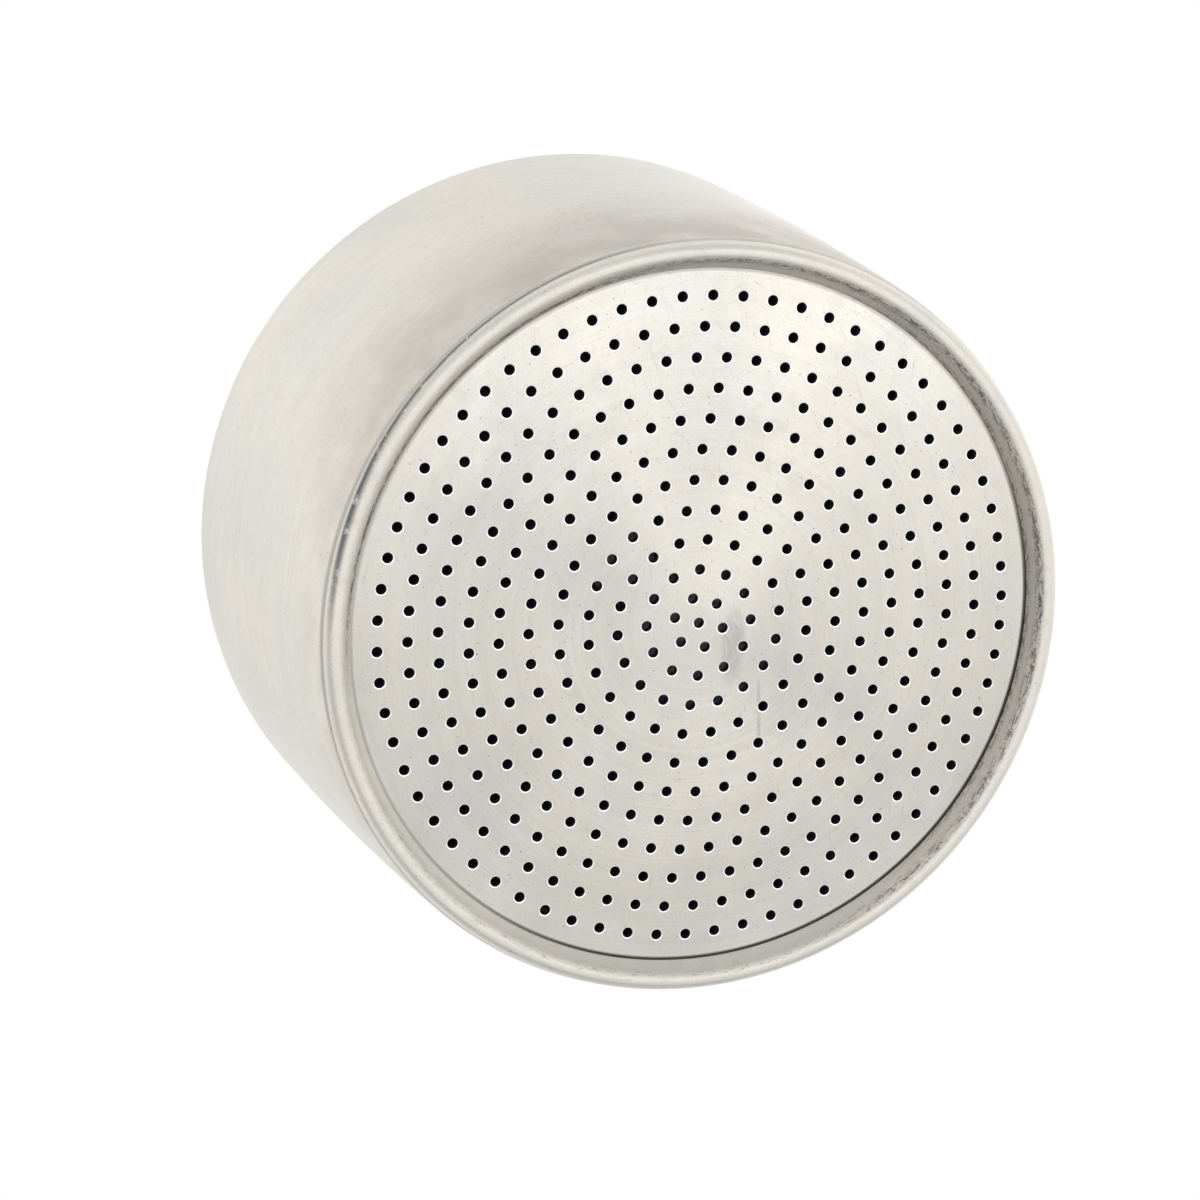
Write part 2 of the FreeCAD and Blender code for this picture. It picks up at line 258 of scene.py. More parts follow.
class Shader(Nodes):
    """A material with one Principled shader, in millimetres of the object's own frame."""

    def __init__(self, name):
        self.material = bpy.data.materials.new(name)
        self.material.use_nodes = True
        self.tree = self.material.node_tree
        self.surface = self.tree.nodes["Principled BSDF"]
        place = self.node("ShaderNodeTexCoord").outputs["Object"]
        self.place = self.scaled(place, (1 / MM, 1 / MM, 1 / MM))
        x, y, z = self.node("ShaderNodeSeparateXYZ", Vector=self.place).outputs
        self.x, self.y, self.z = x, y, z
        self.radius = self.math("SQRT", self.add(self.math("MULTIPLY", x, x), self.math("MULTIPLY", y, y)))

    def vector_math(self, operation, *values):
        node = self.tree.nodes.new("ShaderNodeVectorMath")
        node.operation = operation
        for socket, value in zip(node.inputs, values):
            self.give(socket, value)
        return node

    def scaled(self, vector, factors):
        return self.vector_math("MULTIPLY", vector, factors).outputs[0]

    def vector(self, x, y, z):
        return self.node("ShaderNodeCombineXYZ", X=x, Y=y, Z=z).outputs[0]

    def noise(self, place, scale, detail=4.0, roughness=0.5):
        node = self.node("ShaderNodeTexNoise", Vector=place, Scale=scale, Detail=detail, Roughness=roughness)
        return node.outputs["Fac"]

    def line(self, value, centre, half_width):
        """1 at the centre, 0 at half_width to either side."""
        return self.band(value, centre, 0.0, half_width)

    def mix(self, factor, first, second):
        node = self.tree.nodes.new("ShaderNodeMix")
        node.data_type = "RGBA"
        self.give(node.inputs["Factor"], factor)
        for socket, colour in ((node.inputs[6], first), (node.inputs[7], second)):
            self.give(socket, colour if isinstance(colour, bpy.types.NodeSocket) else (*colour, 1.0))
        return node.outputs[2]

    def stained(self, colour, mask, strength, stain):
        """The colour with a stain mixed in: as much as the mask says, at most the strength."""
        return self.mix(self.math("MULTIPLY", mask, strength), colour, stain)

    def tinted(self, colour, factor):
        """The colour times a factor."""
        node = self.tree.nodes.new("ShaderNodeMix")
        node.data_type = "RGBA"
        node.blend_type = "MULTIPLY"
        node.inputs["Factor"].default_value = 1.0
        self.give(node.inputs[6], colour if isinstance(colour, bpy.types.NodeSocket) else (*colour, 1.0))
        self.give(node.inputs[7], self.vector(factor, factor, factor))
        return node.outputs[2]

    def bump(self, height, distance, normal=None):
        """height is 0 to 1 over the distance in millimetres."""
        node = self.node("ShaderNodeBump", Height=height, Distance=distance * MM, Strength=1.0)
        if normal is not None:
            self.give(node.inputs["Normal"], normal)
        return node.outputs[0]

    def sector(self, angle_degrees, half_width_degrees):
        """1 around an angle about the Z axis, fading to 0 between half the half width and all of it."""
        cosine = self.math("DIVIDE", self.along(angle_degrees), self.math("MAXIMUM", self.radius, 0.001))
        reach = math.radians(half_width_degrees)
        return self.step(cosine, math.cos(reach), math.cos(reach / 2))

    def bow_tie(self, angle_degrees, low, high):
        """1 on a line through the axis, on both sides; fades as the squared cosine falls to low."""
        cosine = self.math("DIVIDE", self.along(angle_degrees), self.math("MAXIMUM", self.radius, 0.001))
        return self.step(self.math("MULTIPLY", cosine, cosine), low, high)

    def streaks(self, across, pitch, drift=0.02, detail=5.0, seed=0.0):
        """Long marks round the axis: fine across (the radius or the height), slow along."""
        place = self.vector(
            self.math("MULTIPLY_ADD", self.x, drift, seed),
            self.math("MULTIPLY", self.y, drift),
            self.math("DIVIDE", across, pitch),
        )
        return self.noise(place, 1.0, detail, 0.6)

    def scratches(self, direction, length, width, rarity, seed=0.0):
        """Thin marks that run in one direction, each a little bent. rarity is 0.6 (many) to 0.8 (few)."""
        direction = Vector(direction).normalized()
        bend = self.node("ShaderNodeTexNoise", Vector=self.place, Scale=0.25 / length).outputs["Color"]
        bent = self.vector_math("MULTIPLY_ADD", bend, (length,) * 3, self.place).outputs[0]
        along = self.vector_math("DOT_PRODUCT", bent, direction * (1 / length - 1 / width)).outputs["Value"]
        stretch = self.vector_math("SCALE", direction)
        self.give(stretch.inputs["Scale"], self.math("ADD", along, seed))
        place = self.vector_math("MULTIPLY_ADD", bent, (1 / width,) * 3, stretch.outputs[0]).outputs[0]
        return self.step(self.noise(place, 1.0, 1.0, 0.4), rarity, rarity + 0.05)

    def blot(self, centre, half_length, half_width, angle_degrees):
        """1 at a point of the X-Y plane, fading to 0 on an ellipse round it."""
        angle = math.radians(angle_degrees)
        x = self.math("SUBTRACT", self.x, centre[0])
        y = self.math("SUBTRACT", self.y, centre[1])
        cosine, sine = math.cos(angle), math.sin(angle)
        along = self.add(self.math("MULTIPLY", x, cosine), self.math("MULTIPLY", y, sine))
        across = self.add(self.math("MULTIPLY", y, cosine), self.math("MULTIPLY", x, -sine))
        along = self.math("DIVIDE", along, half_length)
        across = self.math("DIVIDE", across, half_width)
        distance = self.add(self.math("MULTIPLY", along, along), self.math("MULTIPLY", across, across))
        return self.step(distance, 0.0, 1.0, 1.0, 0.0)

    def finish(self, colour, roughness, normal, metallic=1.0, anisotropic=0.0):
        """metallic None leaves what already feeds that socket."""
        self.give(self.surface.inputs["Base Color"], colour)
        self.give(self.surface.inputs["Roughness"], roughness)
        self.give(self.surface.inputs["Normal"], normal)
        if metallic is not None:
            self.surface.inputs["Metallic"].default_value = metallic
        self.surface.inputs["Anisotropic"].default_value = anisotropic
        if anisotropic:
            tangent = self.tree.nodes.new("ShaderNodeTangent")
            tangent.direction_type = "RADIAL"
            tangent.axis = "Z"
            self.give(self.surface.inputs["Tangent"], tangent.outputs[0])
        return self.material


# --- materials --------------------------------------------------------------------------------

WHITE = (1, 1, 1, 1)
BRIGHT_METAL = (0.86, 0.825, 0.745)
WARM_METAL = (0.72, 0.665, 0.565)
COOL_METAL = (0.80, 0.78, 0.725)
DARK_GRIME_AND_SHADE = (0.035, 0.033, 0.032)
BROWN_FILM = (0.42, 0.37, 0.31)
UNDERSIDE_SHADE_BLACK = (0.040, 0.042, 0.062)


def aged_metal(s, across, warm_at=0.5, relief=1.0):
    """Colour, roughness and bump shared by all the turned and spun aluminium. relief scales the bump."""
    fine = s.streaks(across, 0.26)
    coarse = s.streaks(across, 2.6, seed=7.0, detail=3.0)
    cloud = s.noise(s.place, 0.035, 4.0)
    mottle = s.noise(s.place, 0.35, 5.0, 0.6)
    grain = s.noise(s.place, 6.0, 3.0)
    colour = s.mix(s.step(cloud, warm_at - 0.12, warm_at + 0.2), COOL_METAL, BRIGHT_METAL)
    colour = s.stained(colour, s.step(mottle, 0.45, 0.80), 0.20, WARM_METAL)
    tone = s.add(
        0.82,
        s.math("MULTIPLY", fine, 0.21),
        s.math("MULTIPLY", coarse, 0.09),
        s.math("MULTIPLY", grain, 0.05),
    )
    colour = s.tinted(colour, tone)
    roughness = s.add(
        0.25,
        s.math("MULTIPLY", mottle, 0.16),
        s.math("MULTIPLY", fine, 0.16),
        s.math("MULTIPLY", cloud, 0.08),
    )
    normal = s.bump(fine, 0.014 * relief)
    normal = s.bump(grain, 0.003 * relief, normal)
    normal = s.bump(mottle, 0.012 * relief, normal)
    return colour, roughness, normal


def wall_metal():
    s = Shader("wall_aluminium")
    colour, roughness, normal = aged_metal(s, s.z)
    speck = s.noise(s.place, 2.6, 3.0, 0.6)
    nicks = s.most(
        s.scratches((0, 0, 1), 7.0, 0.16, 0.76, seed=3.0),
        s.scratches((1, 0.4, 0.5), 8.0, 0.15, 0.76, seed=5.0),
        s.scratches((0.3, -1, -0.4), 9.0, 0.15, 0.76, seed=9.0),
    )
    rubs = s.step(s.streaks(s.z, 0.35, drift=0.09, seed=31.0, detail=2.0), 0.64, 0.74)
    pits = s.step(s.noise(s.place, 1.1, 2.0, 0.4), 0.735, 0.77)
    colour = s.stained(colour, s.step(speck, 0.45, 0.75), 0.22, (0.50, 0.46, 0.40))
    colour = s.stained(colour, nicks, 0.40, (0.36, 0.34, 0.32))
    colour = s.stained(colour, rubs, 0.20, (0.45, 0.43, 0.40))
    colour = s.stained(colour, pits, 0.45, (0.30, 0.27, 0.23))
    normal = s.bump(s.math("SUBTRACT", 1.0, s.most(nicks, pits)), 0.015, normal)

    # brown film that gathers just above the foot bead, most of it on one side
    cloud = s.noise(s.place, 0.09, 4.0)
    above_bead = s.step(s.z, 2.0, 20.0, 1.0, 0.0)
    off_bead = s.step(s.z, 2.4, 3.4)
    film = s.both(above_bead, off_bead, s.step(cloud, 0.34, 0.62))
    film_side = s.both(s.step(s.z, 2.0, 48.0, 1.0, 0.0), off_bead, s.sector(238, 60), s.step(cloud, 0.0, 0.6))
    colour = s.stained(colour, film, 0.22, BROWN_FILM)
    colour = s.stained(colour, film_side, 0.48, BROWN_FILM)
    pitted = s.both(s.line(s.z, 28.0, 26.0), s.sector(256, 34), s.step(cloud, 0.44, 0.56))
    pitted = s.both(pitted, s.step(s.noise(s.place, 0.9, 5.0, 0.7), 0.56, 0.66))
    colour = s.stained(colour, pitted, 0.38, (0.27, 0.24, 0.20))
    # painted shade: a dark line in the crease between the bead and the wall
    waist = s.line(s.z, 2.35, 0.55)
    outside = s.step(s.radius, 61.6, 62.2)
    colour = s.stained(colour, s.both(waist, outside), 0.32, (0.30, 0.28, 0.26))

    # painted reflection: a dark blue-grey line, standing for mirrored dark surroundings, that climbs the
    # outer flank of the bead
    line_height = s.math("MULTIPLY_ADD", s.y, -0.026, 0.50)
    flank = s.both(s.line(s.z, line_height, 0.80), outside, s.sector(208, 44))
    broken = s.step(s.noise(s.place, 0.8, 4.0), 0.25, 0.45)
    colour = s.stained(colour, s.both(flank, broken), 0.88, (0.10, 0.11, 0.14))

    # grime on the inner edge of the bead and on the lip, drawn out along the rim, with painted light and
    # painted shade on the lip
    along_rim = s.streaks(s.radius, 0.22, drift=0.55, seed=41.0, detail=5.0)
    speckle = s.noise(s.place, 2.2, 4.0, 0.7)
    dirt = s.add(s.math("MULTIPLY", along_rim, 0.6), s.math("MULTIPLY", speckle, 0.4))
    low = s.step(s.z, 3.4, 3.6, 1.0, 0.0)
    crest = s.both(s.line(s.radius, 59.95, 0.75), low, s.sector(300, 75), s.step(dirt, 0.43, 0.58))
    # partly grime, partly painted shade: a dark line in the corner of the lip on one side
    corner = s.both(s.line(s.radius, 59.1, 0.80), low, s.sector(206, 52), s.step(dirt, 0.41, 0.55))
    lip_lines = s.both(s.line(s.radius, 58.6, 0.5), low, s.sector(335, 70), s.step(dirt, 0.46, 0.56))
    smear = s.both(s.line(s.radius, 59.9, 0.8), low, s.sector(14, 44), s.step(dirt, 0.45, 0.58))
    rubbed = s.both(s.line(s.radius, 60.4, 1.3), low, s.sector(100, 70), s.step(dirt, 0.53, 0.60))
    lip = s.both(s.step(s.radius, 58.3, 60.2, 1.0, 0.0), low)
    # painted light whitens the lip on two sides; painted shade (lip_shade) darkens the rest of it
    painted_light_side = s.most(s.sector(112, 88), s.sector(258, 34))
    lip_shade = s.both(lip, s.math("SUBTRACT", 1.0, painted_light_side))
    colour = s.stained(colour, s.both(lip, painted_light_side), 0.9, (0.96, 0.95, 0.92))
    colour = s.stained(colour, lip_shade, 0.45, (0.72, 0.64, 0.58))
    colour = s.stained(colour, crest, 0.72, (0.07, 0.06, 0.055))
    colour = s.stained(colour, corner, 0.85, DARK_GRIME_AND_SHADE)
    colour = s.stained(colour, s.most(smear, lip_lines), 0.60, (0.12, 0.11, 0.11))
    colour = s.stained(colour, rubbed, 0.40, (0.20, 0.19, 0.18))
    bead = s.both(s.step(s.z, 2.6, 3.6, 1.0, 0.0), s.step(s.radius, 59.6, 60.4))
    dirty = s.most(crest, corner, smear)
    roughness = s.add(roughness, s.math("MULTIPLY", dirty, 0.3), s.math("MULTIPLY", bead, 0.14))

    # the inside is duller, with the tide marks that whey leaves
    lean = s.math("SUBTRACT", s.radius, s.math("MULTIPLY", s.z, 0.0725))
    inside = s.both(s.step(s.z, 4.0, 5.0), s.step(lean, 62.3, 62.5, 1.0, 0.0))
    tide_place = s.scaled(s.place, (0.02, 0.02, 0.25))
    tide = s.noise(tide_place, 1.0, 5.0)
    below = s.step(s.z, 40.0, 52.0, 1.0, 0.25)
    stain = s.both(inside, below, s.step(tide, 0.30, 0.62))
    colour = s.stained(colour, stain, 0.65, (0.32, 0.30, 0.29))
    roughness = s.add(roughness, s.math("MULTIPLY", inside, 0.12))
    return s.finish(colour, roughness, normal, anisotropic=0.25)


def plate_metal():
    s = Shader("plate_aluminium")
    colour, roughness, normal = aged_metal(s, s.radius, warm_at=0.45, relief=0.4)
    rings = s.streaks(s.radius, 0.75, drift=0.012, seed=21.0, detail=4.0)
    faint = s.step(s.noise(s.place, 0.045, 3.0), 0.35, 0.7)
    colour = s.tinted(colour, s.add(0.86, s.math("MULTIPLY", s.both(rings, faint), 0.16)))

    # hatch of fine scratches, smoky smudges and a few dark specks, and painted shade in opposite sectors
    hatch = s.most(
        s.scratches((1, 0.25, 0), 9.0, 0.15, 0.68, seed=5.0),
        s.scratches((0.35, 1, 0), 8.0, 0.15, 0.69, seed=13.0),
        s.scratches((1, -0.9, 0), 10.0, 0.16, 0.69, seed=17.0),
        s.scratches((-0.8, -1, 0), 14.0, 0.17, 0.69, seed=19.0),
    )
    long_marks = s.most(
        s.scratches((0.2, 1, 0), 16.0, 0.20, 0.755, seed=23.0),
        s.scratches((1, 0.7, 0), 14.0, 0.18, 0.755, seed=29.0),
    )
    specks = s.step(s.noise(s.place, 2.3, 2.0, 0.4), 0.73, 0.76)
    speck_fine = s.step(s.noise(s.place, 5.5, 2.0, 0.5), 0.60, 0.76)
    smoke = s.noise(s.place, 0.10, 6.0, 0.66)
    smudge = s.step(smoke, 0.48, 0.72)
    off_centre = s.step(s.radius, 6.0, 16.0)
    # painted shade: opposite sectors darkened, in place of the turned disc's reflection pattern
    painted_shade_at_25 = s.both(s.bow_tie(25, 0.86, 0.99), off_centre, s.step(smoke, 0.3, 0.6))
    painted_shade_at_minus_18 = s.both(s.bow_tie(-18, 0.35, 1.0), off_centre, s.step(smoke, 0.2, 0.5, 0.6, 1.0))
    smear_grain = s.scratches((0.4, 1, 0), 3.0, 0.22, 0.42, seed=53.0)
    thumb = s.both(s.blot((6.8, 2.5), 8.0, 2.6, 80), s.step(smear_grain, 0.0, 1.0, 0.45, 1.0))
    scored = s.both(s.blot((14.6, 12.6), 7.5, 0.45, 73), s.step(smoke, 0.25, 0.5))
    colour = s.stained(colour, smudge, 0.20, (0.45, 0.44, 0.42))
    colour = s.stained(colour, painted_shade_at_25, 0.14, (0.42, 0.41, 0.39))
    colour = s.stained(colour, painted_shade_at_minus_18, 0.30, (0.46, 0.45, 0.42))
    colour = s.stained(colour, thumb, 0.42, (0.30, 0.29, 0.28))
    colour = s.stained(colour, scored, 0.40, (0.28, 0.27, 0.26))
    colour = s.stained(colour, hatch, 0.28, (0.40, 0.38, 0.35))
    colour = s.stained(colour, long_marks, 0.45, (0.30, 0.29, 0.27))
    colour = s.stained(colour, speck_fine, 0.07, (0.34, 0.32, 0.29))
    colour = s.stained(colour, specks, 0.6, (0.12, 0.11, 0.10))
    marks = s.most(hatch, long_marks)
    normal = s.bump(s.math("SUBTRACT", 1.0, marks), 0.004, normal)
    roughness = s.add(s.math("MULTIPLY", roughness, 0.66), s.math("MULTIPLY", smudge, 0.06))

    # dark seam round the edge, with painted shadow that makes it darkest on the +X and +Y sides
    underside = s.step(s.z, 3.9, 4.0, 1.0, 0.0)
    seam = s.both(s.step(s.radius, 57.75, 58.2), underside)
    seam_and_painted_shadow = s.add(0.35, s.math("MULTIPLY", s.sector(40, 95), 0.6))
    colour = s.mix(s.both(seam, seam_and_painted_shadow), colour, DARK_GRIME_AND_SHADE)

    # upper face, inside the mold: stained by whey
    upper = s.step(s.z, 4.5, 4.7)
    colour = s.stained(colour, upper, 0.4, (0.42, 0.40, 0.38))
    return s.finish(colour, roughness, normal, anisotropic=0.1)


def hole_edge_metal():
    """The broken edges of the drain holes, with a painted highlight: a near-white ring round each hole."""
    s = Shader("hole_edge")
    cloud = s.noise(s.place, 1.2, 3.0)
    grain = s.noise(s.place, 9.0, 3.0)
    # painted highlight: near-white colour on the broken edges
    colour = s.mix(s.step(cloud, 0.35, 0.70), (0.98, 0.975, 0.95), (0.88, 0.86, 0.82))
    colour = s.tinted(colour, s.math("MULTIPLY_ADD", grain, 0.08, 0.96))
    roughness = s.step(cloud, 0.3, 0.7, 0.30, 0.45)
    return s.finish(colour, roughness, s.bump(grain, 0.01))


def hole_shade_and_grime():
    """The walls of the drain holes, near-black navy: painted shade, with some grime."""
    s = Shader("hole_shade_and_grime")
    cloud = s.noise(s.place, 1.8, 4.0)
    # painted shade: near-black navy hole walls
    colour = s.mix(cloud, (0.02, 0.025, 0.06), (0.09, 0.09, 0.11))
    roughness = s.step(cloud, 0.3, 0.7, 0.45, 0.75)
    return s.finish(colour, roughness, s.bump(cloud, 0.03), metallic=0.6)


def follower_metal():
    """Spun disc and washer: bright above; painted shade makes the underside near-black, with a pale patch of
    painted light near the middle.
    """
    s = Shader("follower_aluminium")
    colour, roughness, normal = aged_metal(s, s.radius)
    rubs = s.most(
        s.scratches((1, 0.3, 0), 9.0, 0.16, 0.72, seed=17.0),
        s.scratches((-0.4, 1, 0), 8.0, 0.16, 0.73, seed=37.0),
    )
    colour = s.stained(colour, rubs, 0.30, (0.40, 0.39, 0.38))
    corner = s.both(s.line(s.radius, 61.5, 2.2), s.step(s.noise(s.place, 0.25, 4.0), 0.3, 0.7))
    colour = s.stained(colour, corner, 0.5, (0.24, 0.22, 0.20))
    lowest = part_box("follower_disc")[0].z / MM
    under = s.step(s.z, lowest + 1.0, lowest + 1.9, 1.0, 0.0)
    patch = s.noise(s.place, 0.07, 4.0)
    rings = s.streaks(s.radius, 1.6, drift=0.05, seed=61.0)
    worn = s.both(s.step(patch, 0.25, 0.75), s.step(rings, 0.25, 0.75))
    # painted shade: the underside near-black, with lighter tarnish rings
    underside_painted_light_and_shade = s.mix(worn, UNDERSIDE_SHADE_BLACK, (0.23, 0.22, 0.22))
    # painted light: a pale, non-metallic patch off the centre, behind the middle holes
    painted_light_patch = s.both(s.blot((18.5, 10.0), 19.0, 17.0, 20), s.step(patch, 0.2, 0.5, 0.7, 1.0), under)
    underside_painted_light_and_shade = s.mix(painted_light_patch, underside_painted_light_and_shade, (0.94, 0.91, 0.95))
    colour = s.mix(under, colour, underside_painted_light_and_shade)
    roughness = s.add(roughness, s.math("MULTIPLY", under, 0.2))
    s.give(s.surface.inputs["Metallic"], s.math("SUBTRACT", 1.0, painted_light_patch))
    return s.finish(colour, roughness, normal, metallic=None, anisotropic=0.25)


def knob_metal():
    s = Shader("knob_aluminium")
    across = s.add(s.z, s.radius)
    colour, roughness, normal = aged_metal(s, across)
    dings = s.most(
        s.scratches((0.2, 0.1, 1), 4.0, 0.14, 0.73, seed=23.0),
        s.scratches((1, 0.5, 0.1), 5.0, 0.14, 0.72, seed=43.0),
        s.scratches((-0.4, 1, -0.1), 5.0, 0.14, 0.72, seed=47.0),
    )
    colour = s.stained(colour, dings, 0.4, (0.40, 0.39, 0.37))
    low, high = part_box("follower_knob")
    worn = s.both(s.step(s.z, high.z / MM - 2.2, high.z / MM - 0.4), s.step(s.radius, 14.5, 16.8))
    colour = s.stained(colour, worn, 0.5, (0.90, 0.89, 0.87))
    crevice = s.step(s.z, low.z / MM + 0.1, low.z / MM + 1.6, 1.0, 0.0)
    colour = s.stained(colour, crevice, 0.6, (0.16, 0.14, 0.12))
    normal = s.bump(s.math("SUBTRACT", 1.0, dings), 0.02, normal)
    return s.finish(colour, roughness, normal, anisotropic=0.3)


def screw_metal():
    s = Shader("screw_steel")
    fine = s.streaks(s.radius, 0.12)
    cloud = s.noise(s.place, 0.6, 4.0)
    colour = s.mix(cloud, (0.30, 0.30, 0.31), (0.50, 0.49, 0.48))
    colour = s.tinted(colour, s.add(0.9, s.math("MULTIPLY", fine, 0.2)))
    roughness = s.step(cloud, 0.3, 0.7, 0.3, 0.5)
    return s.finish(colour, roughness, s.bump(fine, 0.01))


# --- pieces -----------------------------------------------------------------------------------


DENT_DEPTH = 0.10 * MM
WIDE_DENTS, SMALL_DENTS = 28.0, 75.0  # per metre


def dented(point):
    """Shallow inward dents of up to a tenth of a millimetre, as a spun sheet has."""
    radius = math.hypot(point.x, point.y)
    depth = 0.5 + 0.5 * noise.noise(point * WIDE_DENTS) + 0.25 * noise.noise(point * SMALL_DENTS)
    depth = min(max(depth, 0.0), 1.0) * DENT_DEPTH
    share = 1 - depth / radius
    return Vector((point.x * share, point.y * share, point.z))


def make_wall():
    """Spun wall, foot bead and lip in one sheet."""
    low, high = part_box("mold_wall")
    mouth_radius, top = high.x, high.z
    plate_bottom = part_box("drain_plate")[0].z
    centre = Vector((BEAD_CENTRE_RADIUS, math.sqrt(BEAD_RADIUS**2 - (FOOT_LAND / 2) ** 2)))
    tip = centre - BEAD_RADIUS * Vector((math.cos(LIP_LEAN), math.sin(LIP_LEAN)))
    lip_rise = plate_bottom - tip.y
    lip_edge = Vector((tip.x - lip_rise * math.tan(LIP_LEAN), plate_bottom))
    lip_back = lip_edge + Vector((LIP_GAUGE / math.cos(LIP_LEAN), 0))
    hem_inner = Vector((lip_back.x + (plate_bottom - HEM_FLOOR) * math.tan(LIP_LEAN), HEM_FLOOR))
    hem_outer = Vector((WALL_FOOT_RADIUS - WALL_GAUGE - HEM_INSET, HEM_FLOOR))

    land_angle = math.asin(FOOT_LAND / 2 / BEAD_RADIUS)
    bottom = -math.pi / 2
    inner_arc = arc(centre, BEAD_RADIUS, LIP_LEAN - math.pi, bottom - land_angle, 14)
    outer_arc = arc(centre, BEAD_RADIUS, bottom + land_angle, BEAD_EXIT_ANGLE, 22)
    shoulder = Vector((WALL_FOOT_RADIUS, outer_arc[-1].y + WALL_FOOT_RADIUS - outer_arc[-1].x))
    mouth_out = Vector((mouth_radius, top))
    mouth_in = Vector((mouth_radius - WALL_GAUGE, top))
    outside = bowed(shoulder, mouth_out, WALL_BULGE, 44)
    inside = bowed(mouth_in, hem_outer, -WALL_BULGE, 44)

    outline = [lip_edge, *inner_arc, *outer_arc, *outside, *inside, hem_inner, lip_back]
    waist = len(inner_arc) + len(outer_arc)
    mouth = waist + len(outside)
    rounds = {
        0: 0.18 * MM,
        waist: 0.35 * MM,
        waist + 1: 0.8 * MM,
        mouth: MOUTH_ROUND,
        mouth + 1: MOUTH_ROUND,
    }
    wall = lathe("wall", rounded(outline, rounds), segments=480, wobble=dented)
    wall.data.materials.append(wall_metal())
    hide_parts("mold_wall")
    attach(wall, "mold")


def hole_centres():
    """A centre hole, and rings of 6, 12, 18 ... holes, every second ring turned by half a step."""
    centres = [Vector((0, 0))]
    for ring in range(1, RING_COUNT + 1):
        radius = FIRST_RING_RADIUS if ring == 1 else RING_PITCH * ring - RING_INSET
        count = HOLES_PER_STEP * ring
        for hole in range(count):
            angle = 2 * math.pi * (hole + (0 if ring % 2 else 0.5)) / count
            centres.append(Vector((radius * math.cos(angle), radius * math.sin(angle))))
    return centres


def circle(centre, radius, count):
    points = []
    for step in range(count):
        angle = 2 * math.pi * step / count
        points.append(centre + radius * Vector((math.cos(angle), math.sin(angle))))
    return points


def perforated_face(centres, hole_radius, hole_sides, edge_radius, edge_sides):
    """Flat triangles between the outer circle and the holes. Loops come first: the edge, then the holes."""
    points, edges = [], []
    loops = [circle(Vector((0, 0)), edge_radius, edge_sides)]
    loops += [circle(centre, hole_radius, hole_sides) for centre in centres]
    for loop in loops:
        first = len(points)
        points += loop
        edges += [(first + n, first + (n + 1) % len(loop)) for n in range(len(loop))]
    found, _, triangles, _, _, _ = geometry.delaunay_2d_cdt(points, edges, [], 1, 1e-9)
    tree = kdtree.KDTree(len(centres))
    for index, centre in enumerate(centres):
        tree.insert((*centre, 0), index)
    tree.balance()
    kept = []
    for triangle in triangles:
        middle = sum((found[n] for n in triangle), Vector((0, 0))) / 3
        if tree.find((*middle, 0))[2] > hole_radius * 0.98:
            kept.append(list(triangle))
    return found, kept


def make_plate():
    """Drain plate with 397 broken-edged holes."""
    low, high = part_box("drain_plate")
    edge_radius = high.x
    edge_sides, hole_sides = 360, 28
    broken, broken_depth = 0.19 * MM, 0.03 * MM
    centres = hole_centres()
    flat, triangles = perforated_face(
        centres, HOLE_RADIUS + broken, hole_sides, edge_radius - broken, edge_sides
    )
    vertices, faces = [], []
    for height, order in ((low.z, -1), (high.z, 1)):
        first = len(vertices)
        vertices += [Vector((p.x, p.y, height)) for p in flat]
        faces += [[first + n for n in triangle[::order]] for triangle in triangles]
    flat_count = len(flat)
    slots = [0] * len(faces)

    def wall_rings(loop_start, sides, centre, radius, edge_slot, side_slot, turn):
        """Joins a loop of the lower face to the same loop of the upper one."""
        rings = [[loop_start + n for n in range(sides)]]
        for height in (low.z + broken_depth, high.z - broken_depth):
            rings.append(list(range(len(vertices), len(vertices) + sides)))
            vertices.extend(Vector((*p, height)) for p in circle(centre, radius, sides))
        rings.append([flat_count + loop_start + n for n in range(sides)])
        for level, (under, over) in enumerate(zip(rings, rings[1:])):
            for n in range(sides):
                beside = (n + 1) % sides
                face = [under[n], under[beside], over[beside], over[n]]
                faces.append(face[::turn])
                slots.append(side_slot if level == 1 else edge_slot)

    wall_rings(0, edge_sides, Vector((0, 0)), edge_radius, 0, 0, 1)
    for index, centre in enumerate(centres):
        wall_rings(edge_sides + index * hole_sides, hole_sides, centre, HOLE_RADIUS, 1, 2, -1)

    plate = new_piece("plate", vertices, faces, flat_count=2 * len(triangles))
    plate.data.materials.append(plate_metal())
    plate.data.materials.append(hole_edge_metal())
    plate.data.materials.append(hole_shade_and_grime())
    plate.data.polygons.foreach_set("material_index", slots)
    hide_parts("drain_plate")
    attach(plate, "mold")


def make_follower(metal):
    """Spun dish with a flange that flares with the wall."""
    low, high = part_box("follower_disc")
    gauge, bend, flare = 2.0 * MM, 3.0 * MM, 0.5 * MM
    top_radius = high.x
    radius = top_radius - flare
    bore = 6.2 * MM
    outline = [
        (bore, low.z),
        (radius, low.z),
        (top_radius, high.z),
        (top_radius - gauge, high.z),
        (radius - gauge, low.z + gauge),
        (bore - gauge, low.z + gauge),
    ]
    rounds = {1: bend, 2: 0.6 * MM, 3: 0.6 * MM, 4: 1.2 * MM}
    dish = lathe("dish", rounded(outline, rounds, steps=10), segments=300)
    dish.data.materials.append(metal)
    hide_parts("follower_disc")
    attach(dish, "follower")


def make_washer(metal):
    low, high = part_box("spreader_washer")
    radius = high.x
    chamfer = 1.0 * MM
    outline = [
        (4.2 * MM, low.z),
        (radius, low.z),
        (radius, high.z - chamfer),
        (radius - chamfer, high.z),
        (3.2 * MM, high.z),
        (3.2 * MM, low.z + 1.0 * MM),
    ]
    rounds = {1: 0.15 * MM, 2: 0.3 * MM, 3: 0.3 * MM}
    washer = lathe("washer", rounded(outline, rounds), segments=200)
    washer.data.materials.append(metal)
    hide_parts("spreader_washer")
    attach(washer, "follower")


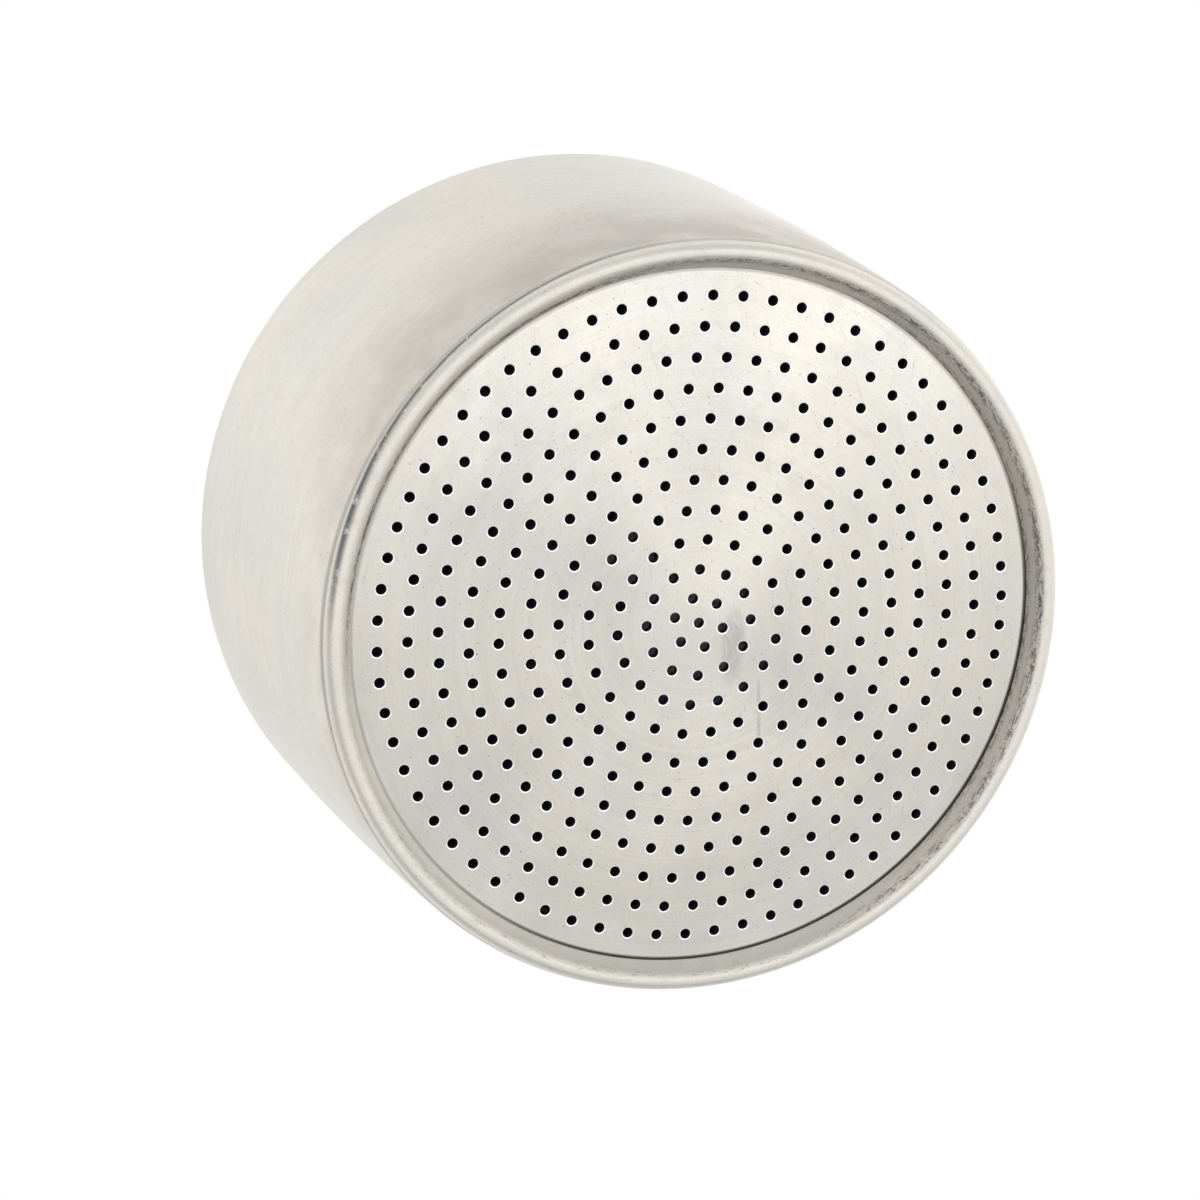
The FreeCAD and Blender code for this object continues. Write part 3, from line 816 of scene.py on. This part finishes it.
def make_knob():
    """Turned mushroom knob with a flat top."""
    low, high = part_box("follower_knob")
    head_radius = high.x
    base_radius, stem_radius = 14.0 * MM, 10.0 * MM
    base = Vector((base_radius, low.z + 3.0 * MM))
    neck = Vector((head_radius, high.z - 9.0 * MM))
    waist = bowed(base, neck, stem_radius - base_radius, 24)
    bore = 3.05 * MM
    bore_top = low.z + 14.0 * MM
    outline = [
        Vector((bore, low.z)),
        Vector((base_radius, low.z)),
        *waist,
        Vector((head_radius, high.z)),
        Vector((0, high.z)),
        Vector((0, bore_top)),
        Vector((bore, bore_top)),
    ]
    neck_index = 1 + len(waist)
    rounds = {1: 0.4 * MM, 2: 0.5 * MM, neck_index: 1.6 * MM, neck_index + 1: 2.0 * MM}
    knob = lathe("knob", rounded(outline, rounds, steps=8), segments=200)
    knob.data.materials.append(knob_metal())
    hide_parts("follower_knob")
    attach(knob, "follower")


def dress_screw():
    """The screw keeps its CAD mesh and gets its material."""
    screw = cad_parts["knob_screw"]
    screw.data.materials.clear()
    screw.data.materials.append(screw_metal())


# --- stage ------------------------------------------------------------------------------------


def make_floor():
    """Pale floor that shows only its upper side, so that the camera can look up at the mold."""
    size = 3.0
    corners = [(-size, -size, 0), (size, -size, 0), (size, size, 0), (-size, size, 0)]
    mesh = bpy.data.meshes.new("floor")
    mesh.from_pydata(corners, [], [(0, 1, 2, 3)])
    floor = bpy.data.objects.new("floor", mesh)
    floor.location.z = CAD_BOUNDS[0][2] - 0.1 * MM
    bpy.context.scene.collection.objects.link(floor)
    material = bpy.data.materials.new("floor")
    material.use_nodes = True
    tree = material.node_tree
    surface = tree.nodes["Principled BSDF"]
    surface.inputs["Base Color"].default_value = (0.64, 0.64, 0.63, 1)
    surface.inputs["Roughness"].default_value = 0.8
    side = tree.nodes.new("ShaderNodeNewGeometry")
    clear = tree.nodes.new("ShaderNodeBsdfTransparent")
    choose = tree.nodes.new("ShaderNodeMixShader")
    tree.links.new(side.outputs["Backfacing"], choose.inputs[0])
    tree.links.new(surface.outputs[0], choose.inputs[1])
    tree.links.new(clear.outputs[0], choose.inputs[2])
    tree.links.new(choose.outputs[0], tree.nodes["Material Output"].inputs["Surface"])
    mesh.materials.append(material)
    floor.visible_shadow = False
    floor.visible_diffuse = False
    floor.visible_glossy = False


def area_light(name, place, size, power):
    """A round soft light aimed at the foot of the mold."""
    data = bpy.data.lights.new(name, "AREA")
    data.shape = "DISK"
    data.size = size
    data.energy = power
    light = bpy.data.objects.new(name, data)
    light.location = place
    light.rotation_euler = (-Vector(place)).to_track_quat("-Z", "Y").to_euler()
    bpy.context.scene.collection.objects.link(light)
    light.visible_camera = False


class World(Nodes):
    """The surroundings, brighter in some directions than in others."""

    def __init__(self):
        world = bpy.data.worlds.new("studio")
        bpy.context.scene.world = world
        world.use_nodes = True
        self.tree = world.node_tree
        self.tree.nodes.clear()
        direction = self.node("ShaderNodeTexCoord").outputs["Generated"]
        self.x, self.y, self.z = self.node("ShaderNodeSeparateXYZ", Vector=direction).outputs

    def towards(self, angle_degrees):
        """Cosine of the angle, seen from above, between the direction and this one."""
        flat = self.math("SQRT", self.math("SUBTRACT", 1.0, self.math("MULTIPLY", self.z, self.z)))
        return self.math("DIVIDE", self.along(angle_degrees), self.math("ADD", flat, 0.05))

    def lobe(self, angle_degrees):
        """1 towards an angle about the Z axis, fading to 0 a quarter turn away."""
        towards = self.math("MAXIMUM", self.towards(angle_degrees), 0.0)
        return self.math("POWER", towards, 4.0)

    def background(self, strength):
        return self.node("ShaderNodeBackground", Color=WHITE, Strength=strength).outputs[0]


def make_world():
    """White for the camera. What the metal mirrors has soft panels, dark flags and two windows."""
    w = World()

    # wide soft panels towards +X and -X, everywhere but straight below
    side = w.towards(8)
    panels = w.math("MULTIPLY_ADD", w.math("MULTIPLY", side, side), 0.30, -0.15)
    panels = w.add(panels, w.math("MULTIPLY", side, 0.12))
    panels = w.both(panels, w.step(w.z, -0.95, -0.6))

    # a strip below, whose edge runs across the drain plate
    up_the_plate = w.along(76)
    strip = w.both(
        w.step(up_the_plate, 0.235, 0.05, 0.0, 1.34),
        w.step(up_the_plate, -0.30, -0.08, 0.14, 1.0),
    )
    glow = w.both(w.step(w.z, -0.6, -0.8), w.math("SUBTRACT", strip, 0.32))

    # dark flags on two sides, darkest below the horizon
    flag_depth = w.both(w.step(w.z, -0.80, -0.55), w.step(w.z, -0.25, 0.0, 0.66, 0.36))
    side_flag = w.both(w.lobe(52), w.step(w.z, 0.65, 0.80, 1.0, 0.0))
    back_flag = w.both(w.lobe(155), w.step(w.z, 0.15, 0.35, 0.70, 0.0))
    flags = w.both(flag_depth, w.add(side_flag, back_flag))
    dim_belt = w.band(w.z, -0.36, 0.20, 0.34, 0.27)

    # windows just above the horizon
    windows = w.both(w.add(w.lobe(103), w.lobe(300)), w.band(w.z, 0.25, 0.15, 0.45, 0.50))

    bright = w.add(1.02, glow, panels, windows)
    lit = w.background(w.math("SUBTRACT", bright, w.add(flags, dim_belt)))
    seen = w.background(w.step(w.z, 0.0, 0.6, 0.68, 1.0))
    choose = w.tree.nodes.new("ShaderNodeMixShader")
    w.give(choose.inputs[0], w.node("ShaderNodeLightPath").outputs["Is Camera Ray"])
    w.give(choose.inputs[1], lit)
    w.give(choose.inputs[2], seen)
    w.node("ShaderNodeOutputWorld", Surface=choose.outputs[0])


make_camera()
make_wall()
make_plate()
follower_finish = follower_metal()
make_follower(follower_finish)
make_washer(follower_finish)
make_knob()
dress_screw()
make_floor()
make_world()
area_light("key_above", (0.42, 0.10, 1.10), 0.5, 1.2)
bpy.context.scene.view_settings.view_transform = "Standard"
